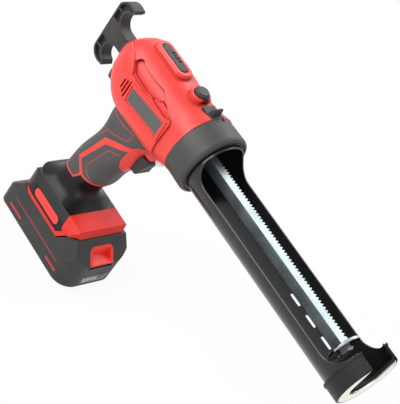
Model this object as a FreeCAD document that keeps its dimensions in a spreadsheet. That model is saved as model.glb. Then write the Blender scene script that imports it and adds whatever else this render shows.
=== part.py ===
import FreeCAD, Part
import math
import os
import Sketcher

V = FreeCAD.Vector
doc = FreeCAD.newDocument("CaulkingTool")

# Driving sizes in millimetres. The barrel axis is X, its zero is the front face of the collar.
SIZES = (
    ("datum_x", 85.5, "collar face ahead of the centre of the base"),
    ("axis_height", 201.0, "barrel axis above the base"),
    ("fit_gap", 0.15, "gap between pieces that sit in each other"),
    ("run_gap", 0.35, "gap between pieces that move past each other"),
    ("bore_gap", 0.05, "radial clearance of a shaft in its bore"),
    ("wall", 2.5, "housing wall"),
    ("rubber", 2.0, "thickness of the soft grip"),
    ("body_rear_x", -134.0, "rear end of the housing"),
    ("body_half", 29.0, "half width of the housing"),
    ("body_top", 29.5, "top of the housing above the axis"),
    ("body_bottom", -33.0, "underside of the housing"),
    ("panel_rise", 1.6, "height of the raised side panel"),
    ("ridge_top", 33.0, "top of the control ridge"),
    ("ridge_half", 9.5, "half width of the control ridge"),
    ("ridge_rear_x", -114.0, "rear end of the control ridge"),
    ("ridge_front_x", -70.0, "front end of the control ridge"),
    ("grip_half", 17.5, "half width of the grip"),
    ("grip_rear_x", -107.5, "back of the grip below the housing"),
    ("grip_front_x", -59.0, "front of the grip at the trigger"),
    ("grip_rake", 10.0, "backward lean of the grip over its length"),
    ("seam_z", -123.0, "lower end of the grip at its back"),
    ("foot_top_z", -143.0, "flat top of the foot"),
    ("foot_base_z", -167.5, "lower edge of the foot"),
    ("foot_rear_x", -136.5, "rear of the foot"),
    ("foot_front_x", -47.0, "front of the foot"),
    ("foot_half", 33.0, "half width of the foot"),
    ("rack_side", 10.0, "side of the square rack"),
    ("rack_rear_x", -158.0, "rear end of the rack"),
    ("tooth_module", 1.0, "module of rack and pinion"),
    ("pinion_teeth", 18, "teeth of the pinion"),
    ("pinion_x", -66.0, "place of the pinion along the rack"),
    ("shaft_r", 4.0, "radius of the pinion shaft"),
    ("bearing_r", 8.0, "outer radius of the shaft bearings"),
    ("bearing_width", 5.0, "width of the shaft bearings"),
    ("case_top_z", -6.5, "top of the gear case"),
    ("case_height", 17.5, "height of the gear case"),
    ("case_rear_x", -86.0, "rear face of the gear case"),
    ("case_front_x", -51.0, "front face of the gear case"),
    ("motor_r", 10.5, "radius of the motor"),
    ("motor_length", 25.0, "length of the motor can"),
    ("motor_z", -17.0, "motor axis below the barrel axis"),
    ("cradle_r", 27.0, "outer radius of the cradle tube"),
    ("cradle_wall", 1.2, "sheet thickness of the cradle"),
    ("cradle_rear_x", -21.0, "rear end of the cradle"),
    ("cradle_front_x", 211.0, "front end of the cradle"),
    ("flange_r", 29.0, "radius of the cradle's rear flange"),
    ("flange_width", 2.4, "width of that flange"),
    ("rim_z", -1.3, "rim of the open trough"),
    ("window_rear_x", 3.0, "rear end of the cradle window"),
    ("window_front_x", 198.0, "front end of the cradle window"),
    ("window_r", 18.0, "corner radius of the window"),
    ("slot_length", 12.4, "drain slot length"),
    ("slot_width", 2.4, "drain slot width"),
    ("slot_pitch", 21.4, "drain slot spacing"),
    ("slot_first_x", 118.0, "rear end of the first drain slot"),
    ("slot_angle", 57.0, "drain slots below the horizontal"),
    ("collar_r", 33.0, "collar radius"),
    ("collar_length", 24.3, "collar length"),
    ("collar_lip", 3.0, "width of the collar's rounded lip"),
    ("cap_r", 28.5, "front cap radius"),
    ("cap_rear_x", 199.0, "rear face of the front cap"),
    ("cap_front_x", 213.6, "front face of the front cap"),
    ("cap_flange", 0.8, "how far the cap's rear flange stands out"),
    ("plate_thick", 1.2, "thickness of the front plate"),
    ("plate_r", 26.5, "radius of the front plate"),
    ("nozzle_half", 16.5, "half width of the nozzle slot"),
    ("pusher_r", 15.0, "pusher radius"),
    ("pusher_x", 182.0, "rear face of the pusher"),
    ("pusher_thick", 1.8, "pusher thickness"),
    ("pull_x", -166.0, "rear face of the pull handle"),
    ("pull_half", 32.0, "half height of the pull handle"),
    ("pull_thick", 12.0, "thickness of the pull handle"),
    ("pull_bar", 10.0, "depth of the pull handle's bar"),
    ("stem_height", 15.5, "height of the handle's stem"),
    ("stem_front_x", -137.5, "front end of the handle's stem"),
    ("button_x", -51.0, "release button behind the collar face"),
    ("button_r", 7.0, "release button radius"),
    ("button_top", 36.8, "top of the release button"),
    ("button_travel", 3.0, "travel of the release button"),
    ("dial_x", -92.0, "speed dial axis along the housing"),
    ("dial_r", 11.0, "speed dial radius"),
    ("dial_width", 3.6, "speed dial width"),
    ("dial_y", 2.0, "middle of the speed dial beside the centre plane"),
    ("dial_rise", 1.0, "how far the dial stands out"),
    ("dial_notches", 18, "grip notches around the dial"),
    ("bezel_length", 34.0, "length of the dial bezel"),
    ("bezel_half", 5.2, "half width of the dial bezel"),
    ("latch_half", 7.0, "half width of the collar latch"),
    ("latch_travel", 4.0, "travel of the collar latch"),
    ("trigger_half", 7.5, "half width of the trigger"),
    ("trigger_top_z", -50.5, "top of the trigger"),
    ("trigger_bottom_z", -70.0, "bottom of the trigger"),
    ("trigger_front_x", -48.0, "front of the trigger"),
    ("trigger_rear_x", -70.0, "rear of the trigger"),
    ("trigger_travel", 7.0, "travel of the trigger"),
    ("switch_front_x", -78.0, "front face of the switch"),
    ("switch_length", 24.0, "length of the switch"),
    ("switch_half", 10.5, "half width of the switch"),
    ("battery_rear_x", -142.5, "rear of the battery"),
    ("battery_front_x", -28.5, "front of the battery"),
    ("battery_half", 34.5, "half width of the battery"),
    ("battery_wall", 1.8, "wall of the battery case"),
    ("battery_split_z", -180.0, "seam between the battery's halves"),
    ("battery_top_z", -168.0, "flat top of the battery"),
    ("battery_corner", 9.0, "corner radius of the battery"),
    ("rail_half", 20.0, "half width of the battery rail"),
    ("rail_top_z", -158.0, "top of the battery rail"),
    ("rail_rear_x", -121.0, "rear end of the battery rail"),
    ("rail_front_x", -67.0, "front end of the battery rail"),
    ("cell_r", 9.1, "radius of a battery cell"),
    ("cell_length", 65.0, "length of a battery cell"),
    ("cell_count", 5, "cells in the battery"),
    ("key_half", 14.0, "half width of the battery's release key"),
    ("key_travel", 3.0, "travel of the battery's release key"),
)

sheet = doc.addObject("Spreadsheet::Sheet", "Sizes")
for row, (alias, value, note) in enumerate(SIZES, 1):
    sheet.set("A%d" % row, alias)
    sheet.set("B%d" % row, str(value))
    sheet.setAlias("B%d" % row, alias)
    sheet.set("C%d" % row, note)
doc.recompute()
S = sheet


# Helpers for objects bound to the sheet.

def bind(obj, **expressions):
    """Bind properties to sheet expressions; a double underscore stands for a dot."""
    for prop, text in expressions.items():
        obj.setExpression(prop.replace("__", "."), text)
    return obj


def place(obj, x="0", y="0", z="0"):
    """Set an object in the tool, measured from the barrel axis at the collar face."""
    return bind(
        obj,
        Placement__Base__x="Sizes.datum_x + (%s)" % x,
        Placement__Base__y=y,
        Placement__Base__z="Sizes.axis_height + (%s)" % z,
    )


def new_body(label, x="0", y="0", z="0"):
    body = doc.addObject("PartDesign::Body", label)
    body.Label = label
    return place(body, x, y, z)


def new_sketch(body, plane, offset="0", turn=None):
    """A sketch on one of the body's origin planes, moved along its normal by offset."""
    sketch = body.newObject("Sketcher::SketchObject", body.Label + "_sketch")
    origin = [f for f in body.Origin.OriginFeatures if f.Role == plane + "_Plane"][0]
    sketch.AttachmentSupport = [(origin, "")]
    sketch.MapMode = "FlatFace"
    if turn:
        sketch.AttachmentOffset = FreeCAD.Placement(V(0, 0, 0), FreeCAD.Rotation(V(1, 0, 0), 1))
        bind(sketch, AttachmentOffset__Rotation__Angle=turn)
    return bind(sketch, AttachmentOffset__Base__z=offset)


def polygon(sketch, points):
    """A closed outline whose corners are bound to pairs of expressions."""
    first = sketch.GeometryCount
    count = len(points)
    spots = [V(5 * math.cos(k), 5 * math.sin(k), 0) for k in range(count)]
    for k in range(count):
        sketch.addGeometry(Part.LineSegment(spots[k], spots[(k + 1) % count]), False)
    for k in range(count):
        sketch.addConstraint(
            Sketcher.Constraint("Coincident", first + k, 2, first + (k + 1) % count, 1))
    for k, (u, v) in enumerate(points):
        for kind, text in (("DistanceX", u), ("DistanceY", v)):
            index = sketch.addConstraint(Sketcher.Constraint(kind, -1, 1, first + k, 1, 1.0))
            sketch.setExpression("Constraints[%d]" % index, text)


def rectangle(sketch, u0, u1, v0, v1):
    polygon(sketch, ((u0, v0), (u1, v0), (u1, v1), (u0, v1)))


def circle(sketch, radius, u="0", v="0"):
    """A circle whose radius and centre are bound to expressions."""
    index = sketch.addGeometry(Part.Circle(V(1, 1, 0), V(0, 0, 1), 2), False)
    named = (("DistanceX", -1, 1, index, 3, 1.0), ("DistanceY", -1, 1, index, 3, 1.0))
    for constraint, text in zip(named, (u, v)):
        number = sketch.addConstraint(Sketcher.Constraint(*constraint))
        sketch.setExpression("Constraints[%d]" % number, text)
    number = sketch.addConstraint(Sketcher.Constraint("Radius", index, 2.0))
    sketch.setExpression("Constraints[%d]" % number, radius)


def extrude(body, sketch, kind, length=None, both=False, back=False):
    """A Pad or Pocket of the sketch; without a length a pocket goes through everything."""
    feature = body.newObject("PartDesign::" + kind, body.Label + "_" + kind.lower())
    feature.Profile = sketch
    feature.Midplane = both
    feature.Reversed = back
    if length is None:
        feature.Type = "ThroughAll"
    else:
        bind(feature, Length=length)
    doc.recompute()
    return feature


def revolve(body, sketch, axis, kind="Revolution"):
    """Turn the sketch a full turn about one of the body's own axes."""
    feature = body.newObject("PartDesign::" + kind, body.Label + "_turned")
    feature.Profile = sketch
    origin = [f for f in body.Origin.OriginFeatures if f.Role == axis + "_Axis"][0]
    feature.ReferenceAxis = (origin, [""])
    feature.Angle = 360
    doc.recompute()
    return feature


def soften(body, kind, size, chosen):
    """Fillet or chamfer the edges of the body's tip that chosen accepts."""
    tip = body.Tip
    names = ["Edge%d" % n for n, edge in enumerate(tip.Shape.Edges, 1) if chosen(edge)]
    feature = body.newObject("PartDesign::" + kind, body.Label + "_" + kind.lower())
    feature.Base = (tip, names)
    bind(feature, **{"Radius" if kind == "Fillet" else "Size": size})
    doc.recompute()
    return feature


def runs_along(edge, axis):
    """True for a straight edge parallel to the axis."""
    if edge.Curve.TypeId != "Part::GeomLine":
        return False
    return abs(edge.Curve.Direction.dot(axis)) > 0.999


def feature(label, shape):
    """A free-form piece, drawn about the barrel axis and then set in the tool."""
    obj = doc.addObject("Part::Feature", label)
    obj.Label = label
    obj.Shape = shape
    return place(obj)


# Helpers for free-form shapes.

def box(x0, x1, y0, y1, z0, z1):
    return Part.makeBox(x1 - x0, y1 - y0, z1 - z0, V(x0, y0, z0))


def rod(radius, start, along):
    return Part.makeCylinder(radius, along.Length, start, along)


def outline(points):
    """A closed wire; a pair of points is an arc through the first to the second."""
    edges = []
    last = points[0]
    for item in list(points[1:]) + [points[0]]:
        if isinstance(item[0], tuple):
            through, end = item
            edges.append(Part.Arc(V(*last), V(*through), V(*end)).toShape())
            last = end
        else:
            if (V(*last) - V(*item)).Length > 1e-7:
                edges.append(Part.LineSegment(V(*last), V(*item)).toShape())
            last = item
    return Part.Wire(edges)


def side_prism(points, y0, y1):
    """A side view of (x, z) points, drawn out from y0 to y1."""
    lifted = []
    for item in points:
        if isinstance(item[0], tuple):
            lifted.append(tuple((x, y0, z) for x, z in item))
        else:
            lifted.append((item[0], y0, item[1]))
    return Part.Face(outline(lifted)).extrude(V(0, y1 - y0, 0))


def round_wire(u0, u1, v0, v1, radius, spot, high=None):
    """A rectangle with round corners, at v1 of radius high; spot turns (u, v) into a point in space."""
    limit = 0.47 * min(u1 - u0, v1 - v0)
    r = min(radius, limit)
    q = min(radius if high is None else high, limit)
    k, n = r * (1 - math.sqrt(0.5)), q * (1 - math.sqrt(0.5))
    return outline((
        spot(u0 + r, v0), spot(u1 - r, v0), (spot(u1 - k, v0 + k), spot(u1, v0 + r)),
        spot(u1, v1 - q), (spot(u1 - n, v1 - n), spot(u1 - q, v1)),
        spot(u0 + q, v1), (spot(u0 + n, v1 - n), spot(u0, v1 - q)),
        spot(u0, v0 + r), (spot(u0 + k, v0 + k), spot(u0 + r, v0)),
    ))


def round_prism(x0, x1, half, radius, z0, z1, front=None):
    """An upright block with a rounded rectangular plan, at the front of radius front."""
    wire = round_wire(-half, half, x0, x1, radius, lambda u, v: (v, u, z0), front)
    return Part.Face(wire).extrude(V(0, 0, z1 - z0))


def joined(shapes):
    whole = shapes[0].multiFuse(list(shapes[1:])) if len(shapes) > 1 else shapes[0]
    return whole.removeSplitter()


def halved(shape, side):
    """The part of a shape on one side of the centre plane."""
    reach = 400.0
    y0, y1 = (0.0, reach) if side > 0 else (-reach, 0.0)
    return shape.common(box(-reach, reach, y0, y1, -reach, reach))


# Forms of the housing, each drawn in by an inset so that walls and skins follow it.

def body_form(inset):
    """Upper housing: rounded sections along the barrel, from the rear end to the collar."""
    half, top, low, rear = S.body_half, S.body_top, S.body_bottom, S.body_rear_x
    front = -S.collar_length
    rows = (
        (rear + inset, half - 17.5, top - 17.5, low + 20.0, 9.0, 9.0),
        (rear + 6.0, half - 11.0, top - 9.0, low + 14.0, 15.0, 15.0),
        (rear + 15.0, half - 4.0, top - 2.0, low + 7.0, 21.0, 22.0),
        (rear + 25.0, half - 0.5, top, low, 24.0, 26.0),
        (rear + 54.0, half + 0.3, top + 0.3, low, 18.0, 27.0),
        (front - 27.0, half, top - 1.0, low - 1.0, 20.0, 27.0),
        (front - 8.0, half + 1.4, top + 1.2, low - 0.5, 26.0, 28.5),
        (front - inset, S.collar_r - 0.8, S.collar_r - 0.8, 0.8 - S.collar_r, 30.2, 30.2),
    )
    wires = []
    for x, width, high, bottom, under, over in rows:
        wires.append(round_wire(
            inset - width, width - inset, bottom + inset, high - inset, under - inset,
            lambda u, v, x=x: (x, u, v), over - inset))
    return Part.makeLoft(wires, True, False)


def grip_form(inset):
    """Grip and neck of the foot: rounded sections from the housing down to the foot."""
    half, rear, front, lean = S.grip_half, S.grip_rear_x, S.grip_front_x, S.grip_rake
    seam, foot = S.seam_z, S.foot_top_z
    rows = (
        (-24.0, rear + 8.0, front + 9.0, half + 2.5, 15.0),
        (-38.0, rear, front + 10.0, half + 3.0, 15.0),
        (-51.0, rear, front + 1.5, half + 2.0, 15.0),
        (-64.0, rear, front, half + 1.0, 15.0),
        (-76.0, rear - 0.2 * lean, front - 3.0, half + 0.5, 15.0),
        (-89.0, rear - 0.6 * lean, front - 9.5, half, 15.0),
        (seam + 19.0, rear - 0.95 * lean, front - 12.5, half, 15.0),
        (seam + 7.0, rear - 1.05 * lean, front - 17.5, half + 0.5, 15.0),
        (seam - 5.0, rear - 1.25 * lean, front - 22.0, half + 1.0, 16.0),
        (foot + 7.0, rear - 1.6 * lean, front - 19.5, half + 3.5, 17.0),
        (foot + 3.0, rear - 2.0 * lean, front - 15.5, half + 6.5, 17.0),
        (foot, rear - 2.5 * lean, front - 10.5, half + 10.3, 17.0),
    )
    wires = []
    for z, x0, x1, width, radius in rows:
        wires.append(round_wire(
            x0 + inset, x1 - inset, inset - width, width - inset, radius - inset,
            lambda u, v, z=z: (u, v, z)))
    return Part.makeLoft(wires, True, False)


def seam_block(drop):
    """Everything of the grip above its lower seam; drop lowers the seam."""
    z = S.seam_z - drop
    far = S.body_half + 30.0
    rear, front = S.grip_rear_x - 60.0, S.grip_front_x + 40.0
    step = S.grip_rear_x + 10.5
    return side_prism((
        (rear, z), (step, z), (step + 5.5, z + 9.5), (S.grip_front_x - 21.0, z + 9.5),
        (front, z + 22.0), (front, 0.0), (rear, 0.0)), -far, far)


def skin(form, outer, depth):
    """The layer of a form between two insets."""
    return form(outer).cut(form(outer + depth))


# Nose above the trigger, which holds the work light.
nose_front_x = -44.6
nose_low_z = -44.6
light_nose_half = 11.0
light_nose = side_prism((
    (-60.0, -30.0), (nose_front_x, -30.0), (nose_front_x, nose_low_z + 2.6),
    ((nose_front_x - 0.8, nose_low_z + 0.8), (nose_front_x - 2.6, nose_low_z)),
    (-57.0, nose_low_z)), -light_nose_half, light_nose_half)
light_nose = light_nose.common(
    round_prism(-75.0, nose_front_x, light_nose_half, 5.0, nose_low_z, -30.0))

# Rubber of the grip: two regions parted by a bright zigzag of the housing.
FAR = S.body_half + 30.0
body_solid = body_form(0)
grip_solid = grip_form(0)
upper_grip = grip_solid.common(seam_block(0))
rubber_layer = skin(grip_form, 0, S.rubber).common(seam_block(0)).cut(body_form(0))

rear_region = side_prism((
    (S.grip_rear_x - 40.0, S.seam_z + 1.6), (S.grip_rear_x + 9.5, S.seam_z + 1.6),
    (S.grip_rear_x + 13.7, S.seam_z + 9.4), (S.grip_rear_x + 2.0, S.seam_z + 20.8),
    (S.grip_rear_x + 15.5, -63.5), (-63.0, -46.5), (-58.5, -40.5), (-51.0, -36.5),
    (-43.0, -26.0), (-43.0, -10.0), (S.grip_rear_x - 40.0, -10.0)), -FAR, FAR)
palm_region = side_prism((
    (S.grip_rear_x + 6.1, S.seam_z + 20.5), (S.grip_rear_x + 19.1, -68.6), (-65.5, -53.5),
    (-67.0, -66.0), (-64.5, -79.5), (S.grip_front_x + 10.0, -82.0),
    (S.grip_front_x + 10.0, S.seam_z + 18.0), (-73.0, S.seam_z + 13.0),
    (-80.5, S.seam_z + 11.4), (-91.0, S.seam_z + 11.4)), -FAR, FAR)

ribs = []
for step in range(9):
    z = -67.0 - 3.6 * step
    ribs.append(box(S.grip_rear_x - 40.0, S.grip_rear_x + 1.5 - 0.6 * step, -FAR, FAR, z - 0.8, z + 0.8))
rib_cuts = skin(grip_form, -1.0, 1.7).common(Part.makeCompound(ribs))
rear_rubber = rubber_layer.common(rear_region).cut([rib_cuts, light_nose])
palm_rubber = rubber_layer.common(palm_region)

screw_spots = (
    (S.body_rear_x + 15.0, 12.0), (-34.0, 19.0), (-34.0, -24.0), (-104.0, -82.0), (-82.0, -101.0))
screw_r = 1.5
screw_head_r = 2.8
screw_head_y = 12.0
screw_reach = -9.0
screw_wells = []
for x, z in screw_spots:
    screw_wells.append(rod(screw_head_r + S.fit_gap, V(x, screw_head_y, z), V(0, 100.0, 0)))
feature("rear_grip_rubber", rear_rubber.cut(screw_wells))
feature("palm_grip_rubber", palm_rubber.cut(screw_wells))

# Raised side panels, the scoop above them, and the bare plate on the right side.
PANEL_FRONT = -40.5
panel_region = side_prism((
    (S.body_rear_x + 12.0, 19.0), ((-102.0, 14.0), (-98.0, 9.6)), (-79.0, 8.2),
    ((-70.5, 9.6), (-63.0, 13.0)), (PANEL_FRONT - 2.0, 11.6), (PANEL_FRONT, 9.5), (PANEL_FRONT, -60.0),
    (S.body_rear_x - 10.0, -60.0), (S.body_rear_x - 10.0, 19.0)), -FAR, FAR)
panel_limit = box(S.body_rear_x + 7.0, PANEL_FRONT, -FAR, FAR, -60.0, 40.0)
side_panels = skin(body_form, -S.panel_rise, S.panel_rise + 1.0).common(panel_region)
side_panels = side_panels.common(panel_limit).cut(box(-400, 400, -16.0, 16.0, -60.0, 40.0))
scoop_region = side_prism((
    (-106.0, 16.5), ((-104.6, 20.4), (-101.0, 21.6)), (-93.0, 20.2), (-80.0, 20.0), (-68.0, 20.6),
    (-50.0, 13.2), (-62.5, 14.2), ((-70.5, 10.8), (-79.0, 9.3)), (-97.4, 10.8)), -FAR, FAR)
scoop_depth = 3.0
scoops = skin(body_form, -3.0, 3.0 + scoop_depth).common(scoop_region)
scoop_backs = skin(body_form, S.wall - 0.3, 1.9).common(side_prism((
    (-109.0, 12.0), (-109.0, 24.0), (-64.0, 24.0), (-44.0, 14.0), (-60.0, 9.0), (-100.0, 7.0)), -FAR, FAR))
notch_region = side_prism((
    (-71.0, 10.4), (-62.0, 14.2), (-42.0, 12.6), (-49.0, 9.6), (-59.5, 9.6)), -FAR, FAR)
panel_notches = skin(body_form, -4.0, 5.2).common(notch_region)

PLATE_MIDDLE = V(-67.0, 0, -2.3)
PLATE_TILT = -4.5


def plate_prism(margin, y0, y1):
    """A block over the plate's place on the side, widened by margin."""
    long_half, high_half = 21.2 + margin, 6.6 + margin
    block = box(-long_half, long_half, y0, y1, -high_half, high_half)
    block.rotate(V(0, 0, 0), V(0, 1, 0), PLATE_TILT)
    block.translate(PLATE_MIDDLE)
    return block


plate = skin(body_form, -S.panel_rise, 1.0).common(plate_prism(0, -FAR, -5.0))
frame = plate_prism(3.4, -FAR, FAR).cut(plate_prism(1.6, -FAR, FAR))
plate_frames = skin(body_form, -S.panel_rise - 0.7, 1.2).common(frame)
feature("side_plate", plate)

vents = []
for step in range(3):
    x = -100.0 + 3.4 * step
    vents.append(box(x - 0.9, x + 0.9, -FAR, FAR, -8.0 - 2.0 * step, 2.0 + 1.5 * step))
vent_grooves = skin(body_form, -3.0, 3.9).common(Part.makeCompound(vents))

# Control ridge on top with the dial bezel, the boss of the release button and the latch channel.
ridge = round_prism(S.ridge_rear_x, S.ridge_front_x, S.ridge_half, 8.0, 5.0, S.ridge_top)
ridge = ridge.makeChamfer(1.6, [e for e in ridge.Edges if e.BoundBox.ZMin > S.ridge_top - 0.1])
boss_top = S.button_top - 3.6
boss = rod(S.button_r + 2.6, V(S.button_x, 0, 10.0), V(0, 0, boss_top - 10.0))
boss = boss.makeChamfer(1.0, [e for e in boss.Edges if e.BoundBox.ZMin > boss_top - 0.1])

bezel_low = S.ridge_top - 4.0
bezel_crown = S.ridge_top + 0.6
dial_z = bezel_crown + S.dial_rise - S.dial_r
bezel_rear = S.dial_x - S.bezel_length / 2
bezel_front = S.dial_x + S.bezel_length / 2


def bezel_plan(margin, z0, z1):
    return round_prism(
        bezel_rear - margin, bezel_front + margin, S.bezel_half + margin,
        S.bezel_half + margin, z0, z1)


bezel = bezel_plan(0, bezel_low, bezel_crown)
bezel = bezel.makeChamfer(1.2, [e for e in bezel.Edges if e.BoundBox.ZMin > bezel_crown - 0.1])
axle_r = 1.6
ear_thick = 1.6
ear_gap = S.run_gap
dial_y0 = S.dial_y - S.dial_width / 2
dial_y1 = S.dial_y + S.dial_width / 2
ears = []
for y in (dial_y0 - ear_gap - ear_thick, dial_y1 + ear_gap):
    ears.append(box(S.dial_x - 4.5, S.dial_x + 4.5, y, y + ear_thick, dial_z - 4.0, bezel_low))
dial_room = rod(
    S.dial_r + S.run_gap + 0.3, V(S.dial_x, dial_y0 - ear_gap, dial_z),
    V(0, S.dial_width + 2 * ear_gap, 0))
axle_room = rod(axle_r + S.bore_gap, V(S.dial_x, -20.0, dial_z), V(0, 40.0, 0))
bezel = joined([bezel] + ears).cut(dial_room).cut(axle_room)
feature("dial_bezel", bezel)

latch_floor = 28.4
latch_rear_x = -39.0
channel = box(
    latch_rear_x - S.latch_travel - 1.0, -S.collar_length, -S.latch_half - S.run_gap,
    S.latch_half + S.run_gap, latch_floor, 60.0)

# Housing: hollow shells with moulded bulkheads and posts, parted on the centre plane.
rack_room = S.rack_side / 2 + 1.2
motor_front = S.case_rear_x
motor_rear = motor_front - S.motor_length
tooth_pitch = math.pi * S.tooth_module
pitch_r = S.tooth_module * S.pinion_teeth / 2
rack_pitch_y = S.rack_side / 2 - S.tooth_module
mesh_gap = 0.08
pinion_y = rack_pitch_y + pitch_r + mesh_gap
upper_bearing_z = S.rack_side / 2 + 2.5

inner = joined([
    body_form(S.wall),
    grip_form(S.wall + S.rubber).common(seam_block(-S.wall)).common(
        box(-400, 400, -FAR, FAR, -400, -20.0))])
outer = joined([
    body_solid, upper_grip, ridge.common(box(-400, 400, -FAR, FAR, 15.0, 60.0)), boss,
    side_panels, plate_frames, light_nose])

# Rear bumper, seated on the rear of the housing below the rack.
bumper = box(S.body_rear_x - 2.0, S.body_rear_x + 11.0, -9.0, 9.0, -30.0, -14.0)
bumper = bumper.makeChamfer(3.0, [e for e in bumper.Edges if e.BoundBox.XMax < S.body_rear_x - 1.9])
feature("rear_bumper", bumper.cut(outer))

rib_thick = 2.4
motor_rib_x = motor_rear + 9.0
switch_rib_x = S.switch_front_x - S.switch_length / 2
core = body_form(S.wall - 0.4)
grip_core = grip_form(S.wall + S.rubber - 0.4).common(seam_block(-S.wall))
bulkheads = [
    core.common(box(motor_rib_x, motor_rib_x + rib_thick, -FAR, FAR, -60, 60)),
    core.common(box(S.case_front_x, S.case_front_x + rib_thick, -FAR, FAR, -60, 60)),
    core.common(box(-S.collar_length - S.wall - 3.0, -S.collar_length - S.wall, -FAR, FAR, -60, 60)),
    grip_core.common(box(switch_rib_x, switch_rib_x + rib_thick, -FAR, FAR, -75, -40)),
    core.common(box(
        S.pinion_x - 12.0, S.pinion_x + 12.0, pinion_y - S.bearing_r, FAR,
        upper_bearing_z, upper_bearing_z + S.bearing_width)),
]
board_y = -20.0
board_z = 6.0
board_thick = 1.6
posts = []
for x in (S.case_rear_x + 6.0, S.case_front_x - 6.0):
    post = rod(2.5, V(x, -FAR, board_z), V(0, FAR + board_y - board_thick, 0))
    posts.append(post.common(core))
screw_boss_r = 3.6
for x, z in screw_spots:
    posts.append(rod(screw_boss_r, V(x, -FAR, z), V(0, 2 * FAR, 0)).common(outer))

hollow = outer.cut(inner).multiFuse(bulkheads + posts + [scoop_backs])

button_bore = S.button_r + S.run_gap
stem_r = 3.9
button_floor = 26.0
led_axis = V(0.82, 0, -0.57)
led_start = V(-53.9, 0, -37.2)
led_r = 4.4
led_length = 16.5
cuts = [
    rear_rubber.fuse(rib_cuts.common(rear_region)), palm_rubber, plate, scoops, panel_notches,
    box(S.body_rear_x - 20.0, 0.0, -rack_room, rack_room, -rack_room, rack_room),
    rod(S.motor_r + S.fit_gap, V(motor_rear - 1.0, 0, S.motor_z), V(S.motor_length + 2.0, 0, 0)),
    box(S.switch_front_x - S.switch_length - S.fit_gap, S.switch_front_x + S.fit_gap,
        -S.switch_half - S.fit_gap, S.switch_half + S.fit_gap,
        S.trigger_bottom_z - 2.0 - S.fit_gap, S.trigger_top_z + 2.0 + S.fit_gap),
    box(S.trigger_rear_x - S.trigger_travel - 2.0, 0.0,
        -S.trigger_half - S.run_gap, S.trigger_half + S.run_gap,
        S.trigger_bottom_z - S.run_gap, S.trigger_top_z + S.run_gap),
    rod(S.bearing_r + S.bore_gap, V(S.pinion_x, pinion_y, upper_bearing_z),
        V(0, 0, S.bearing_width + 3.0)),
    rod(S.shaft_r + 1.0, V(S.pinion_x, pinion_y, 0), V(0, 0, 20.0)),
    bezel_plan(S.fit_gap, bezel_low, 60.0),
    box(S.dial_x - 13.5, S.dial_x + 13.5, dial_y0 - ear_gap - ear_thick - 0.6,
        dial_y1 + ear_gap + ear_thick + 0.6, dial_z - S.dial_r - 1.0, bezel_low + 1.0),
    rod(button_bore, V(S.button_x, 0, button_floor), V(0, 0, 40.0)),
    rod(stem_r + S.run_gap, V(S.button_x, 0, 8.0), V(0, 0, 30.0)),
    channel,
    rod(led_r + S.fit_gap, led_start, led_axis * 40.0),
    vent_grooves,
]
guide_hub_r = S.rack_side * math.sqrt(0.5) + 1.6
guide_hub = 6.0
cuts.append(rod(guide_hub_r + S.fit_gap, V(S.body_rear_x - 20.0, 0, 0), V(20.0 + 2 * guide_hub, 0, 0)))
cuts.append(rod(guide_hub_r + S.fit_gap, V(-S.collar_length - 2 * guide_hub, 0, 0), V(60.0, 0, 0)))
for x, z in screw_spots:
    cuts.append(rod(screw_r + S.bore_gap, V(x, screw_reach - 1.0, z), V(0, 100.0, 0)))
hollow = hollow.cut(cuts + screw_wells)
feature("right_shell", halved(hollow, -1))
feature("left_shell", halved(hollow, 1))

screws = []
for x, z in screw_spots:
    shank = rod(screw_r, V(x, screw_reach, z), V(0, screw_head_y - screw_reach, 0))
    head = rod(screw_head_r, V(x, screw_head_y, z), V(0, 2.2, 0))
    screws.append(shank.fuse(head).removeSplitter())
feature("housing_screws", Part.makeCompound(screws))

# Work light under the nose of the housing.
lens = rod(led_r, led_start, led_axis * led_length)
lens = lens.makeChamfer(1.8, [
    e for e in lens.Edges if e.Length > 20.0 and e.CenterOfMass.x > led_start.x + 5.0])
feature("work_light_lens", lens)

# Motor, gear case and switch stand inside the shells.
motor = new_body("motor", "Sizes.case_rear_x - Sizes.motor_length", "0", "Sizes.motor_z")
can = new_sketch(motor, "YZ")
circle(can, "Sizes.motor_r")
extrude(motor, can, "Pad", "Sizes.motor_length")
soften(motor, "Chamfer", "1.2", lambda e: e.Curve.TypeId == "Part::GeomCircle")
neck = new_sketch(motor, "YZ")
circle(neck, "Sizes.motor_r * 0.4")
extrude(motor, neck, "Pad", "2.5", back=True)

case = new_body("gear_case", "0", "0", "Sizes.case_top_z - Sizes.case_height")
plan = new_sketch(case, "XY")
polygon(plan, (
    ("Sizes.case_rear_x", "-Sizes.motor_r"), ("Sizes.case_front_x", "-Sizes.motor_r"),
    ("Sizes.case_front_x", "Sizes.motor_r + 2"), ("Sizes.pinion_x + Sizes.bearing_r + 3", "22"),
    ("Sizes.pinion_x - Sizes.bearing_r - 3", "22"), ("Sizes.case_rear_x", "Sizes.motor_r")))
extrude(case, plan, "Pad", "Sizes.case_height")
soften(case, "Fillet", "4", lambda e: runs_along(e, V(0, 0, 1)))
soften(case, "Chamfer", "4", lambda e: e.BoundBox.ZMax < 0.01)
PITCH_Y = "Sizes.rack_side / 2 - Sizes.tooth_module"
PINION_Y = "(%s + Sizes.tooth_module * Sizes.pinion_teeth / 2 + %g)" % (PITCH_Y, mesh_gap)
seat = new_sketch(case, "XY", "Sizes.case_height")
circle(seat, "Sizes.bearing_r + Sizes.bore_gap", "Sizes.pinion_x", PINION_Y)
extrude(case, seat, "Pocket", "Sizes.bearing_width")
well = new_sketch(case, "XY", "Sizes.case_height")
circle(well, "Sizes.shaft_r + 0.5", "Sizes.pinion_x", PINION_Y)
extrude(case, well, "Pocket", "Sizes.bearing_width + 8")

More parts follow.
